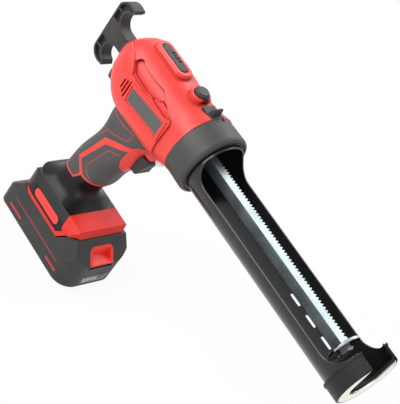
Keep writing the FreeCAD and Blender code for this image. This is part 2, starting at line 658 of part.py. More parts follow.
switch = new_body("trigger_switch", "Sizes.switch_front_x")
block = new_sketch(switch, "YZ")
rectangle(block, "-Sizes.switch_half", "Sizes.switch_half",
          "Sizes.trigger_bottom_z - 2", "Sizes.trigger_top_z + 2")
extrude(switch, block, "Pad", "Sizes.switch_length", back=True)
plunger_r = 3.0
plunger_room = new_sketch(switch, "YZ")
circle(plunger_room, "%g + Sizes.run_gap" % plunger_r, "0",
       "(Sizes.trigger_top_z + Sizes.trigger_bottom_z) / 2")
extrude(switch, plunger_room, "Pocket", "Sizes.trigger_travel + 6")

board = new_body("control_board", "(Sizes.case_rear_x + Sizes.case_front_x) / 2",
                 "%g" % board_y, "%g" % board_z)
card = new_sketch(board, "XZ")
rectangle(card, "Sizes.case_rear_x / 2 - Sizes.case_front_x / 2 + 3",
          "Sizes.case_front_x / 2 - Sizes.case_rear_x / 2 - 3", "-8", "7")
extrude(board, card, "Pad", "%g" % board_thick)


def bearing_rings():
    rings = []
    for z in (S.case_top_z - S.bearing_width, upper_bearing_z):
        ring = rod(S.bearing_r, V(S.pinion_x, pinion_y, z), V(0, 0, S.bearing_width))
        rings.append(ring.cut(rod(
            S.shaft_r + S.bore_gap, V(S.pinion_x, pinion_y, z - 1), V(0, 0, S.bearing_width + 2))))
    return Part.makeCompound(rings)


feature("shaft_bearings", bearing_rings())

# Pinion with involute teeth, and its shaft.
shaft = new_body("pinion_shaft", "Sizes.pinion_x", PINION_Y, "Sizes.case_top_z - Sizes.bearing_width - 6")
round_bar = new_sketch(shaft, "XY")
circle(round_bar, "Sizes.shaft_r")
extrude(shaft, round_bar, "Pad",
        "Sizes.rack_side / 2 + 2.5 + 2 * Sizes.bearing_width - Sizes.case_top_z + 6 + 1")


def involute(base_r, r):
    """Polar angle of an involute of the base circle at radius r."""
    turn = math.acos(min(1.0, base_r / r))
    return math.tan(turn) - turn


def gear_outline(teeth, module, thin, steps=5):
    """Corner points of a 20 degree spur gear; thin takes play off each tooth."""
    pitch = module * teeth / 2
    base = pitch * math.cos(math.radians(20))
    root, tip = pitch - 1.25 * module, pitch + module
    start = max(root, base)
    half = math.pi / (2 * teeth) - thin / (2 * pitch) + involute(base, pitch)
    corners = []
    for tooth in range(teeth):
        middle = 2 * math.pi * tooth / teeth - math.pi / 2
        flank = [start + (tip - start) * k / (steps - 1) for k in range(steps)]
        side = [(r, half - involute(base, r)) for r in flank]
        if root < start:
            side.insert(0, (root, half))
        for r, angle in side:
            corners.append((r * math.cos(middle - angle), r * math.sin(middle - angle), 0))
        for r, angle in reversed(side):
            corners.append((r * math.cos(middle + angle), r * math.sin(middle + angle), 0))
    return corners


pinion = Part.Face(outline(gear_outline(int(S.pinion_teeth), S.tooth_module, 0.12)))
pinion = pinion.extrude(V(0, 0, S.rack_side))
pinion.translate(V(S.pinion_x, pinion_y, -S.rack_side / 2))
pinion = pinion.cut(rod(S.shaft_r + 0.01, V(S.pinion_x, pinion_y, -FAR), V(0, 0, 2 * FAR)))
feature("drive_pinion", pinion)

# Rack: a square bar with straight-sided teeth on its left face.
def rack_outline():
    half = S.rack_side / 2
    slope = math.tan(math.radians(20))
    mouth = tooth_pitch / 4 + S.tooth_module * slope
    root = tooth_pitch / 4 - 1.25 * S.tooth_module * slope
    floor = half - 2.25 * S.tooth_module
    first = math.ceil((S.body_rear_x + 4.0 - S.pinion_x) / tooth_pitch)
    last = math.floor((S.pusher_x - 6.0 - S.pinion_x) / tooth_pitch)
    points = [(S.rack_rear_x, -half, 0), (S.pusher_x, -half, 0), (S.pusher_x, half, 0)]
    for k in range(last, first - 1, -1):
        x = S.pinion_x + k * tooth_pitch
        points += [(x + mouth, half, 0), (x + root, floor, 0), (x - root, floor, 0), (x - mouth, half, 0)]
    points.append((S.rack_rear_x, half, 0))
    return points


bolt_r = 3.0
bolt_depth = 16.0
pin_x = S.stem_front_x - 6.5
pin_r = 2.0
rack = Part.Face(outline(rack_outline())).extrude(V(0, 0, S.rack_side))
rack.translate(V(0, 0, -S.rack_side / 2))
rack = rack.cut(rod(bolt_r + S.bore_gap, V(S.pusher_x - bolt_depth, 0, 0), V(bolt_depth, 0, 0)))
pin_end_y = 0.5 - S.rack_side / 2
pin_room = rod(pin_r + S.bore_gap, V(pin_x, pin_end_y - S.fit_gap, 0), V(0, 40.0, 0))
rack = rack.cut(pin_room)
feature("rack", rack)

# Pull handle: a flat T with forward hooks, hollowed on both sides, on the rear end of the rack.
stem_half = S.stem_height / 2
pull_inner = S.pull_x + S.pull_bar
gap_r = 10.0
gap_bend = gap_r * (1 - math.sqrt(0.5))
gap_top = stem_half + gap_r
half_handle = side_prism((
    (S.stem_front_x, 0.0), (S.stem_front_x, stem_half), (pull_inner + gap_r, stem_half),
    ((pull_inner + gap_bend, stem_half + gap_bend), (pull_inner, gap_top)), (pull_inner, S.pull_half - 13.0),
    ((pull_inner + 2.0, S.pull_half - 8.2), (pull_inner + 6.8, S.pull_half - 5.6)),
    (pull_inner + 9.0, S.pull_half - 2.2),
    ((pull_inner + 8.3, S.pull_half - 0.3), (pull_inner + 6.0, S.pull_half)),
    ((pull_inner - 4.8, S.pull_half - 1.2), (S.pull_x, S.pull_half - 8.0)),
    (S.pull_x, 0.0)), -S.pull_thick / 2, S.pull_thick / 2)
rim = 1.7
bar_pocket = (
    (S.pull_x + rim, stem_half + 2.4), (pull_inner + 1.0, stem_half + 2.4),
    ((pull_inner - 1.2, gap_top - 3.5), (pull_inner - rim, gap_top)), (pull_inner - rim, S.pull_half - 12.2),
    (S.pull_x + rim, S.pull_half - 12.2))
hook_pocket = (
    (S.pull_x + rim, S.pull_half - 10.8), (pull_inner - rim, S.pull_half - 10.8),
    ((pull_inner + 0.4, S.pull_half - 6.6), (pull_inner + 5.6, S.pull_half - 3.8)),
    (pull_inner + 5.6, S.pull_half - rim),
    ((pull_inner - 3.8, S.pull_half - 2.8), (S.pull_x + rim, S.pull_half - 8.6)))
pocket_deep = 3.5
for side in (-1, 1):
    y0, y1 = sorted((side * (S.pull_thick / 2 - pocket_deep), side * S.pull_thick))
    half_handle = half_handle.cut([side_prism(bar_pocket, y0, y1), side_prism(hook_pocket, y0, y1)])
pull_handle = joined([half_handle, half_handle.mirror(V(0, 0, 0), V(0, 0, 1))])
socket = S.rack_side / 2 + S.fit_gap
pull_handle = pull_handle.cut(box(S.rack_rear_x, 0.0, -socket, socket, -socket, socket))
pull_handle = pull_handle.cut(pin_room)
feature("pull_handle", pull_handle)
pin_head_r = 3.6
pin_head = rod(pin_head_r, V(pin_x, S.pull_thick / 2, 0), V(0, 1.6, 0))
pin = rod(pin_r, V(pin_x, pin_end_y, 0), V(0, S.pull_thick / 2 - pin_end_y, 0))
feature("handle_screw", joined([pin, pin_head]))


# Guides of the rack at both ends of the housing: a flange, a hub and a square bore.
def guide(label, x, flange, flange_thick, back):
    body = new_body(label, x)
    disc = new_sketch(body, "YZ")
    circle(disc, flange)
    extrude(body, disc, "Pad", flange_thick, back=back)
    hub = new_sketch(body, "YZ")
    circle(hub, "%g" % guide_hub_r)
    extrude(body, hub, "Pad", "%g" % guide_hub, back=not back)
    bore = new_sketch(body, "YZ")
    side = "Sizes.rack_side / 2 + Sizes.run_gap"
    rectangle(bore, "-(%s)" % side, side, "-(%s)" % side, side)
    through = extrude(body, bore, "Pocket", "60", both=True)
    return through


guide("front_guide", "-Sizes.collar_length", "Sizes.flange_r - 1", "2", False)
guide("rear_guide", "Sizes.body_rear_x", "%g + 1.6" % guide_hub_r, "2.5", True)

# Collar: a turned ring with a rounded lip, a groove in its front and a shoulder that holds the cradle.
bore_text = "Sizes.cradle_r + Sizes.run_gap"
seat_text = "Sizes.flange_r + Sizes.run_gap"
shoulder_x = "Sizes.cradle_rear_x + Sizes.flange_width + Sizes.run_gap"
collar = new_body("collar")
ring = new_sketch(collar, "XZ")
polygon(ring, (
    ("-Sizes.collar_length", seat_text), ("-Sizes.collar_length", "Sizes.collar_r - 0.6"),
    ("-Sizes.collar_lip", "Sizes.collar_r"), ("-Sizes.collar_lip * 0.3", "Sizes.collar_r - 0.7"),
    ("0", "Sizes.collar_r - 2.2"), ("0", "Sizes.cradle_r + 3"), ("-1.6", "Sizes.cradle_r + 2.6"),
    ("-1.6", "Sizes.cradle_r + 1.8"), ("-0.4", "Sizes.cradle_r + 1.5"), ("-0.4", bore_text),
    (shoulder_x, bore_text), (shoulder_x, seat_text)))
revolve(collar, ring, "X")
nose_half = S.latch_half - 2.0
nose_low = latch_floor + 0.8
notch = new_sketch(collar, "YZ", "-Sizes.collar_length")
rectangle(notch, "-%g" % (nose_half + 0.4), "%g" % (nose_half + 0.4), "%g" % (nose_low - 0.4),
          "Sizes.collar_r + 3")
extrude(collar, notch, "Pocket", "3.4", back=True)

# Cradle: a sheet tube with a rear flange, opened along its top, with drain slots below.
cradle_length = S.cradle_front_x - S.cradle_rear_x
cradle_start = V(S.cradle_rear_x, 0, 0)
cradle = rod(S.cradle_r, cradle_start, V(cradle_length, 0, 0))
cradle = cradle.fuse(rod(S.flange_r, cradle_start, V(S.flange_width, 0, 0)))
cradle = cradle.cut(rod(
    S.cradle_r - S.cradle_wall, cradle_start - V(1, 0, 0), V(cradle_length + 2, 0, 0)))
bend = S.window_r * (1 - math.sqrt(0.5))
window = side_prism((
    (S.window_rear_x, FAR), (S.window_rear_x, S.rim_z + S.window_r),
    ((S.window_rear_x + bend, S.rim_z + bend), (S.window_rear_x + S.window_r, S.rim_z)),
    (S.window_front_x - S.window_r, S.rim_z),
    ((S.window_front_x - bend, S.rim_z + bend), (S.window_front_x, S.rim_z + S.window_r)),
    (S.window_front_x, FAR)), -FAR, FAR)
drains = []
for k in range(3):
    x = S.slot_first_x + k * S.slot_pitch
    for side in (-1, 1):
        drain = round_prism(x, x + S.slot_length, S.slot_width / 2, S.slot_width / 2, -FAR, 0.0)
        drain.rotate(V(0, 0, 0), V(1, 0, 0), side * (90.0 - S.slot_angle))
        drains.append(drain)
cap_slot = box(S.window_front_x - 1.0, S.cradle_front_x + 1.0, -S.nozzle_half, S.nozzle_half, 0.0, FAR)
cradle = cradle.cut(window).cut(Part.makeCompound(drains)).cut(cap_slot).removeSplitter()
feature("cradle_tube", cradle)

# Front cap over the end of the cradle, with a slot for the nozzle, and the plate in its face.
cap = new_body("front_cap")
cup = new_sketch(cap, "XZ")
fit_text = "Sizes.cradle_r + Sizes.fit_gap"
polygon(cup, (
    ("Sizes.cap_rear_x", fit_text), ("Sizes.cap_rear_x", "Sizes.cap_r + Sizes.cap_flange"),
    ("Sizes.cap_rear_x + 1.6", "Sizes.cap_r + Sizes.cap_flange"), ("Sizes.cap_rear_x + 1.6", "Sizes.cap_r"),
    ("Sizes.cap_front_x + Sizes.plate_thick - 1", "Sizes.cap_r"),
    ("Sizes.cap_front_x + Sizes.plate_thick", "Sizes.cap_r - 1"),
    ("Sizes.cap_front_x + Sizes.plate_thick", "Sizes.plate_r + Sizes.fit_gap"),
    ("Sizes.cap_front_x", "Sizes.plate_r + Sizes.fit_gap"), ("Sizes.cap_front_x", "0"),
    ("Sizes.cradle_front_x", "0"), ("Sizes.cradle_front_x", fit_text)))
revolve(cap, cup, "X")


def nozzle_slot(body, inset):
    """A slot with a round bottom on the barrel axis, open at the top."""
    half = "Sizes.nozzle_half - %g" % inset
    round_end = new_sketch(body, "YZ", "Sizes.cap_rear_x - 1")
    circle(round_end, half)
    extrude(body, round_end, "Pocket", "60", back=True)
    way_in = new_sketch(body, "YZ", "Sizes.cap_rear_x - 1")
    rectangle(way_in, "-(%s)" % half, half, "0", "Sizes.cap_r + 10")
    extrude(body, way_in, "Pocket", "60", back=True)


nozzle_slot(cap, 0)
front_plate = new_body("front_plate")
disc = new_sketch(front_plate, "YZ", "Sizes.cap_front_x")
circle(disc, "Sizes.plate_r")
extrude(front_plate, disc, "Pad", "Sizes.plate_thick")
nozzle_slot(front_plate, 0)

# Pusher plate with a turned rim, bolted to the end of the rack.
pusher = new_body("pusher_plate", "Sizes.pusher_x")
dish = new_sketch(pusher, "XZ")
polygon(dish, (
    ("0", "%g" % (bolt_r + S.bore_gap)), ("0", "Sizes.pusher_r - 1"), ("1", "Sizes.pusher_r"),
    ("Sizes.pusher_thick + 0.8", "Sizes.pusher_r"), ("Sizes.pusher_thick + 0.8", "Sizes.pusher_r - 0.8"),
    ("Sizes.pusher_thick", "Sizes.pusher_r - 1.6"), ("Sizes.pusher_thick", "%g" % (bolt_r + S.bore_gap))))
revolve(pusher, dish, "X")
bolt_head = 4.5
hexagon = [(S.pusher_x + S.pusher_thick, 6.0 * math.cos(k * math.pi / 3), 6.0 * math.sin(k * math.pi / 3))
           for k in range(6)]
head = Part.Face(outline(hexagon)).extrude(V(bolt_head, 0, 0))
shank = rod(bolt_r, V(S.pusher_x - bolt_depth + 1.0, 0, 0), V(bolt_depth - 1.0 + S.pusher_thick, 0, 0))
feature("pusher_bolt", joined([head, shank]))

# Trigger with a hollowed front and a plunger that enters the switch, and its spring.
trigger_z = (S.trigger_top_z + S.trigger_bottom_z) / 2
trigger = side_prism((
    (S.trigger_rear_x, S.trigger_bottom_z), (S.trigger_rear_x, S.trigger_top_z),
    (S.trigger_front_x - 2.5, S.trigger_top_z),
    ((S.trigger_front_x - 0.3, S.trigger_top_z - 1.6), (S.trigger_front_x, S.trigger_top_z - 4.0)),
    ((S.trigger_front_x - 2.6, trigger_z - 1.0), (S.trigger_front_x - 3.2, S.trigger_bottom_z + 5.0)),
    ((S.trigger_front_x - 4.2, S.trigger_bottom_z + 1.6), (S.trigger_front_x - 7.0, S.trigger_bottom_z))),
    -S.trigger_half, S.trigger_half)
trigger = trigger.common(round_prism(
    S.trigger_rear_x - 12.0, S.trigger_front_x, S.trigger_half, 5.0, S.trigger_bottom_z, S.trigger_top_z))
plunger = rod(
    plunger_r, V(S.switch_front_x - 3.0, 0, trigger_z), V(S.trigger_rear_x - S.switch_front_x + 3.0, 0, 0))
feature("trigger", joined([trigger, plunger]))


def spring_tube(label, inner_r, outer_r, start, along):
    """The room that a hidden spring takes up, as a plain tube."""
    feature(label, rod(outer_r, start, along).cut(rod(inner_r, start, along)))


spring_tube("trigger_spring", plunger_r + 0.6, plunger_r + 1.9, V(S.switch_front_x, 0, trigger_z),
            V(S.trigger_rear_x - S.switch_front_x, 0, 0))

# Release button on its spring, in the boss behind the collar.
head_low = button_floor + S.button_travel + 0.5
button = new_body("release_button", "Sizes.button_x")
knob = new_sketch(button, "XY", "%g" % head_low)
circle(knob, "Sizes.button_r")
extrude(button, knob, "Pad", "Sizes.button_top - %g" % head_low)
soften(button, "Chamfer", "1.8", lambda e: e.BoundBox.ZMin > S.button_top - 0.01)
stem = new_sketch(button, "XY", "%g" % head_low)
circle(stem, "%g" % stem_r)
extrude(button, stem, "Pad", "7.5", back=True)
spring_tube("release_spring", stem_r + 0.5, stem_r + 1.7, V(S.button_x, 0, button_floor),
            V(0, 0, head_low - button_floor))

# Speed dial: a notched wheel on axle pins in the ears of its bezel.
dial = rod(S.dial_r, V(S.dial_x, dial_y0, dial_z), V(0, S.dial_width, 0))
dial = dial.makeChamfer(0.5, [e for e in dial.Edges if e.Curve.TypeId == "Part::GeomCircle"])
notches = []
for k in range(int(S.dial_notches)):
    angle = 2 * math.pi * k / S.dial_notches
    spot = V(S.dial_x + S.dial_r * math.cos(angle), dial_y0 - 1.0, dial_z + S.dial_r * math.sin(angle))
    notches.append(rod(0.8, spot, V(0, S.dial_width + 2.0, 0)))
reach = ear_gap + ear_thick
axle = rod(axle_r, V(S.dial_x, dial_y0 - reach, dial_z), V(0, S.dial_width + 2 * reach, 0))
feature("speed_dial", joined([dial.cut(Part.makeCompound(notches)), axle]))

# Collar latch: a slide in the channel on top, with a thumb lug and a nose into the collar.
latch_front_x = -S.collar_length - S.run_gap
slide_low = latch_floor + 0.1
slide_top = S.body_top + 2.0
latch = box(latch_rear_x, latch_front_x, -S.latch_half, S.latch_half, slide_low, slide_top)
lug_top = slide_top + 6.4
lug = side_prism((
    (latch_rear_x + 6.0, slide_top - 1.0), (latch_rear_x + 8.6, lug_top - 1.4),
    ((latch_rear_x + 9.6, lug_top), (latch_rear_x + 10.8, lug_top - 1.2)),
    (latch_rear_x + 12.0, slide_top - 1.0)), -nose_half, nose_half)
nose = box(latch_front_x - 2.0, latch_front_x + 2.6, -nose_half, nose_half, nose_low, slide_top - 0.4)
feature("collar_latch", joined([latch, lug, nose]))

# Foot: the neck below the grip and a block with a T-shaped channel for the battery rail.
neck = grip_solid.cut(seam_block(0))
heel = (S.rail_front_x + 0.5, S.foot_base_z)
knee = (S.rail_front_x + 9.5, S.foot_base_z + 12.3)
toe_z = S.foot_top_z - 7.6
toe = (S.foot_front_x - 2.5, toe_z)
foot_side = side_prism((
    (S.foot_rear_x + 0.5, S.foot_base_z),
    ((S.foot_rear_x + 2.5, S.foot_base_z + 14.0), (S.foot_rear_x + 10.0, S.foot_top_z)),
    (S.foot_front_x - 2.5, S.foot_top_z), (S.foot_front_x, toe_z), toe, knee, heel), -FAR, FAR)
foot_r = 24.0
bevel = 7.0
foot_plan = round_prism(S.foot_rear_x, S.foot_front_x + foot_r, S.foot_half, foot_r, S.foot_base_z, 0.0)
bevel_cuts = []
for side in (-1, 1):
    corner = (S.foot_front_x, side * S.foot_half, S.foot_base_z)
    bevel_cuts.append(Part.Face(outline((
        (corner[0] - bevel, corner[1], corner[2]), (corner[0], corner[1] - side * bevel, corner[2]),
        (corner[0] + bevel, corner[1] - side * bevel, corner[2]),
        (corner[0] + bevel, corner[1], corner[2])))).extrude(V(0, 0, 60.0)))
shoulder = 5.0
far_x = S.foot_rear_x - 20.0
foot_section = Part.Face(outline((
    (far_x, -S.foot_half, S.foot_base_z), (far_x, S.foot_half, S.foot_base_z),
    (far_x, S.foot_half, toe_z), (far_x, S.foot_half - shoulder, S.foot_top_z),
    (far_x, shoulder - S.foot_half, S.foot_top_z), (far_x, -S.foot_half, toe_z)))).extrude(V(FAR * 4, 0, 0))
foot_block = foot_side.common(foot_plan).common(foot_section).cut(bevel_cuts)
band_region = side_prism((
    (S.foot_front_x - 22.5, S.foot_top_z + 10.0), (S.foot_front_x - 22.5, S.foot_top_z),
    (S.foot_front_x - 19.5, toe_z), (S.foot_front_x - 19.0, toe_z - 5.0), (knee[0] - 1.0, knee[1] - 1.0),
    (S.foot_front_x + 10.0, toe_z), (S.foot_front_x + 10.0, S.foot_top_z + 10.0)), -FAR, FAR)
strip = 3.6
strip_region = side_prism((
    (S.foot_rear_x - 5.0, S.foot_base_z), heel, knee, (knee[0] - strip, knee[1] + 2.0),
    (heel[0] - 0.8 * strip, S.foot_base_z + strip), (S.foot_rear_x - 5.0, S.foot_base_z + strip)), -FAR, FAR)
strip_core = box(-400, 400, strip - S.foot_half, S.foot_half - strip, -400, 0)
foot_band = joined([
    foot_block.common(band_region).cut(neck), foot_block.common(strip_region).cut(strip_core)])

inlay_deep = 1.2
inlay_low, inlay_high = S.foot_base_z + 6.5, toe_z - 1.0
inlays = []
for side in (-1, 1):
    wire = round_wire(
        S.foot_rear_x + 24.0, S.foot_front_x - 26.0, inlay_low, inlay_high, inlay_high - inlay_low,
        lambda u, v, y=side * (S.foot_half - inlay_deep): (u, y, v))
    inlays.append(Part.Face(wire).extrude(V(0, side * inlay_deep, 0)))
inlays = Part.makeCompound(inlays)

rail_neck = S.rail_half - 3.0
rail_step_z = S.rail_top_z - 3.0
channel_rear = S.rail_rear_x - 3.0
rail_channel = joined([
    box(channel_rear, 0.0, -S.rail_half - S.run_gap, S.rail_half + S.run_gap,
        rail_step_z - S.run_gap, S.rail_top_z + S.run_gap),
    box(channel_rear, 0.0, -rail_neck - S.run_gap, rail_neck + S.run_gap,
        S.foot_base_z - 5.0, S.rail_top_z)])
foot = joined([foot_block.cut(band_region), neck]).cut([rail_channel, inlays, foot_band])
feature("foot_housing", foot)
feature("foot_band", foot_band.cut(rail_channel))
feature("foot_inlays", inlays)

blade_spots = (-10.0, 0.0, 10.0)
blade_half = 0.4
blade_length = 9.0
terminal_front = S.rail_rear_x - 0.6
terminal = box(
    channel_rear, terminal_front, -rail_neck + 1.0, rail_neck - 1.0, rail_step_z - 4.0, S.rail_top_z)
feature("terminal_block", terminal)
blades = []
slots = []
for y in blade_spots:
    blades.append(box(
        terminal_front, terminal_front + blade_length, y - blade_half, y + blade_half,
        rail_step_z - 3.0, S.rail_top_z - 1.0))
    slots.append(box(
        S.rail_rear_x - 1.0, terminal_front + blade_length + 1.0, y - blade_half - 0.5, y + blade_half + 0.5,
        rail_step_z - 4.0, S.rail_top_z + 1.0))
feature("terminal_blades", Part.makeCompound(blades))

# Battery: tray and cover with a rail on top, cells and board inside, release key in the front.
base_z = -S.axis_height
slope_z = S.battery_top_z - 2.0
hump_gap = 0.6
battery_side = side_prism((
    (S.battery_rear_x, base_z), (S.battery_front_x, base_z), (S.battery_front_x, slope_z),
    (S.foot_front_x + 1.5, toe_z - hump_gap), (toe[0] + 2 * hump_gap, toe_z - hump_gap),
    (knee[0] + 2 * hump_gap, knee[1] - hump_gap), (heel[0] + 2 * hump_gap, S.battery_top_z),
    (S.battery_rear_x + 12.0, S.battery_top_z), (S.battery_rear_x, S.battery_top_z - 13.0)), -FAR, FAR)
battery_block = battery_side.common(round_prism(
    S.battery_rear_x, S.battery_front_x, S.battery_half, S.battery_corner, base_z, S.foot_top_z,
    2 * S.battery_corner))
hump_half = S.foot_half - 3.0
section_x = S.battery_rear_x - 10.0
battery_section = Part.Face(outline((
    (section_x, -S.battery_half, base_z), (section_x, S.battery_half, base_z),
    (section_x, S.battery_half, S.battery_top_z - 8.0), (section_x, S.foot_half - 1.0, S.battery_top_z),
    (section_x, hump_half, toe_z), (section_x, -hump_half, toe_z),
    (section_x, 1.0 - S.foot_half, S.battery_top_z), (section_x, -S.battery_half, S.battery_top_z - 8.0),
    ))).extrude(V(FAR * 4, 0, 0))
battery_block = battery_block.common(battery_section)
hump_x, hump_z = S.foot_front_x + 1.5, toe_z - hump_gap
slope = (hump_z - slope_z) / (S.battery_front_x - hump_x)
key_rear_x = S.foot_front_x + 4.0
key_top_z = slope_z + slope * (S.battery_front_x - key_rear_x - 2.5)
key_floor_z = slope_z - 4.5
key_round = 5.0
key_pocket = Part.Face(round_wire(
    -S.key_half - S.run_gap, S.key_half + S.run_gap, key_floor_z, key_top_z + S.run_gap, 0.5,
    lambda u, v: (key_rear_x, u, v), key_round + S.run_gap)).extrude(V(60.0, 0, 0))
room_top = S.battery_top_z - S.battery_wall - 1.2
room_side = S.battery_half - S.battery_wall
room_r = S.battery_corner - S.battery_wall
cell_room = round_prism(
    S.battery_rear_x + S.battery_wall, S.battery_front_x - S.battery_wall, room_side, room_r,
    base_z + S.battery_wall, S.battery_split_z, 2 * S.battery_corner - 4.0)
board_room = round_prism(
    S.battery_rear_x + 14.0, key_rear_x - 2.0, room_side - 3.0, room_r, S.battery_split_z, room_top)
battery_room = cell_room.fuse(board_room)

tray = battery_block.common(box(-400, 400, -FAR, FAR, base_z, S.battery_split_z))
tray = tray.makeChamfer(2.0, [e for e in tray.Edges if e.BoundBox.ZMax < base_z + 0.01]).cut(battery_room)
gauge_y0, gauge_y1 = -13.0, 17.0
gauge_z = S.battery_split_z - 11.5
gauge_half = 4.2
gauge_thick = 1.0
gauge_x = S.battery_front_x - gauge_thick
press_y = 12.0
press_half = 2.2
press_room = box(
    gauge_x - 10.0, 0.0, press_y - press_half - S.run_gap, press_y + press_half + S.run_gap,
    gauge_z - press_half - S.run_gap, gauge_z + press_half + S.run_gap)
tray = tray.cut(box(
    gauge_x, 0.0, gauge_y0 - S.fit_gap, gauge_y1 + S.fit_gap,
    gauge_z - gauge_half - S.fit_gap, gauge_z + gauge_half + S.fit_gap)).cut(press_room)
feature("battery_tray", tray)

rails = joined([
    box(S.rail_rear_x, S.rail_front_x, -rail_neck, rail_neck, S.battery_top_z - 1.0, S.rail_top_z),
    box(S.rail_rear_x, S.rail_front_x, -S.rail_half, S.rail_half, rail_step_z, S.rail_top_z)])
cover = battery_block.common(box(-400, 400, -FAR, FAR, S.battery_split_z, S.foot_top_z))
cover = cover.cut(key_pocket).cut(battery_room)
card_top = S.battery_split_z + 4.0
card_x0, card_x1 = S.battery_rear_x + 18.0, key_rear_x - 6.0
card_posts = []
for x in (card_x0 + 5.0, card_x1 - 5.0):
    for y in (-20.0, 20.0):
        card_posts.append(rod(2.5, V(x, y, card_top), V(0, 0, room_top - card_top + 0.5)))
cover = joined([cover, rails] + card_posts).cut(Part.makeCompound(slots))
feature("battery_cover", cover)

cells = []
cell_pitch = 2 * S.cell_r + 0.2
cell_middle = (S.battery_rear_x + S.battery_front_x) / 2 - 3.0
for k in range(int(S.cell_count)):
    x = cell_middle + (k - (S.cell_count - 1) / 2) * cell_pitch
    cells.append(rod(
        S.cell_r, V(x, -S.cell_length / 2, base_z + S.battery_wall + S.cell_r + S.fit_gap),
        V(0, S.cell_length, 0)))
feature("battery_cells", Part.makeCompound(cells))
feature("battery_board", box(card_x0, card_x1, -26.0, 26.0, card_top - 1.6, card_top))

panel = box(
    gauge_x, S.battery_front_x, gauge_y0, gauge_y1, gauge_z - gauge_half, gauge_z + gauge_half)
feature("gauge_panel", panel.cut(press_room))
feature("gauge_button", box(
    gauge_x - 1.4, S.battery_front_x + 0.6, press_y - press_half, press_y + press_half,
    gauge_z - press_half, gauge_z + press_half))

key_low = key_floor_z + S.key_travel + 0.6
key = side_prism((
    (key_rear_x + S.run_gap, key_low), (S.battery_front_x, key_low), (S.battery_front_x, slope_z),
    (key_rear_x + 2.5, key_top_z), (key_rear_x + S.run_gap, key_top_z)), -S.key_half, S.key_half)
key_wire = round_wire(
    -S.key_half, S.key_half, key_low, key_top_z, 0.5, lambda u, v: (key_rear_x, u, v), key_round)
key = key.common(Part.Face(key_wire).extrude(V(40.0, 0, 0)))
scoop_half = S.key_half - 2.8
finger_scoop = side_prism((
    (key_rear_x + 3.5, key_top_z - 2.0), (key_rear_x + 4.2, slope_z + 3.0),
    (S.battery_front_x - 1.2, slope_z + 0.8), (0.0, slope_z + 0.8), (0.0, key_top_z - 2.0)),
    -scoop_half, scoop_half)
feature("battery_key", key.cut(finger_scoop))
spring_tube("key_spring", 1.6, 2.6, V(key_rear_x + 5.0, 0, key_floor_z), V(0, 0, key_low - key_floor_z))

# Check every object and write one file for each piece.
doc.recompute()
pieces = [o for o in doc.Objects if o.TypeId in ("PartDesign::Body", "Part::Feature")]
for obj in doc.Objects:
    if {"Invalid", "Error"} & set(obj.State):
        raise ValueError("%s did not build" % obj.Label)
for piece in pieces:
    if piece.Shape.isNull() or not piece.Shape.isValid() or not piece.Shape.Solids:
        raise ValueError("%s has no sound solid" % piece.Label)
os.makedirs("parts", exist_ok=True)
for piece in pieces:
    piece.Shape.exportStep("parts/%s.step" % piece.Label)
    print("%-20s %2d solids %10.1f mm3" % (piece.Label, len(piece.Shape.Solids), piece.Shape.Volume))
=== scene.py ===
"""Looks of the cordless caulking tool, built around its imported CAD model."""

import math

import bpy
import bmesh
from mathutils import Matrix, Vector
from mathutils.bvhtree import BVHTree


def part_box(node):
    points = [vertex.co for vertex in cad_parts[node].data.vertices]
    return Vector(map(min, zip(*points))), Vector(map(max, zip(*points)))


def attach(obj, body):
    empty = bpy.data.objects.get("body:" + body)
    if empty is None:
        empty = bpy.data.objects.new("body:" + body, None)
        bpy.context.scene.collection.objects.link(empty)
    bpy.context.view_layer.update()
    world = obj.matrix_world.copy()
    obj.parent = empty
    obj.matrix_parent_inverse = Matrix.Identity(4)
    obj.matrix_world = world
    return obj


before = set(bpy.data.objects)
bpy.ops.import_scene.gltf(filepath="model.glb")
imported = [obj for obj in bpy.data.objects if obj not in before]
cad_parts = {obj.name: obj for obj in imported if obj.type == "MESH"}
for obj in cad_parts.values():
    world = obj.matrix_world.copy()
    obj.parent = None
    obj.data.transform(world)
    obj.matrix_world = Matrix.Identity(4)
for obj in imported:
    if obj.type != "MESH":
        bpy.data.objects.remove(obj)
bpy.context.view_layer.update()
MM = 0.001
SIDES = (-1, 1)
WHITE = (1.0, 1.0, 1.0, 1.0)

# Reference point of the tool: the barrel axis at the front face of the collar.
COLLAR_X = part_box("collar")[1].x
PUSHER_LOW, PUSHER_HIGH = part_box("pusher_plate")
AXIS_Z = (PUSHER_LOW.z + PUSHER_HIGH.z) / 2
REFERENCE = Vector((COLLAR_X, 0, AXIS_Z))


def spot(x, y, z):
    """A point given in millimetres from the reference point."""
    return REFERENCE + Vector((x, y, z)) * MM


# Materials. Noise scales are per metre, and lengths are in metres.
BLOTCH_SCALE = 45.0
WEAR_AND_SHEEN_SCALE = 160.0
CLOUD_SCALE = 60.0
CREASE_SHADE_REACH = 0.006
METAL_EDGE_HIGHLIGHT_GAIN = 1.2


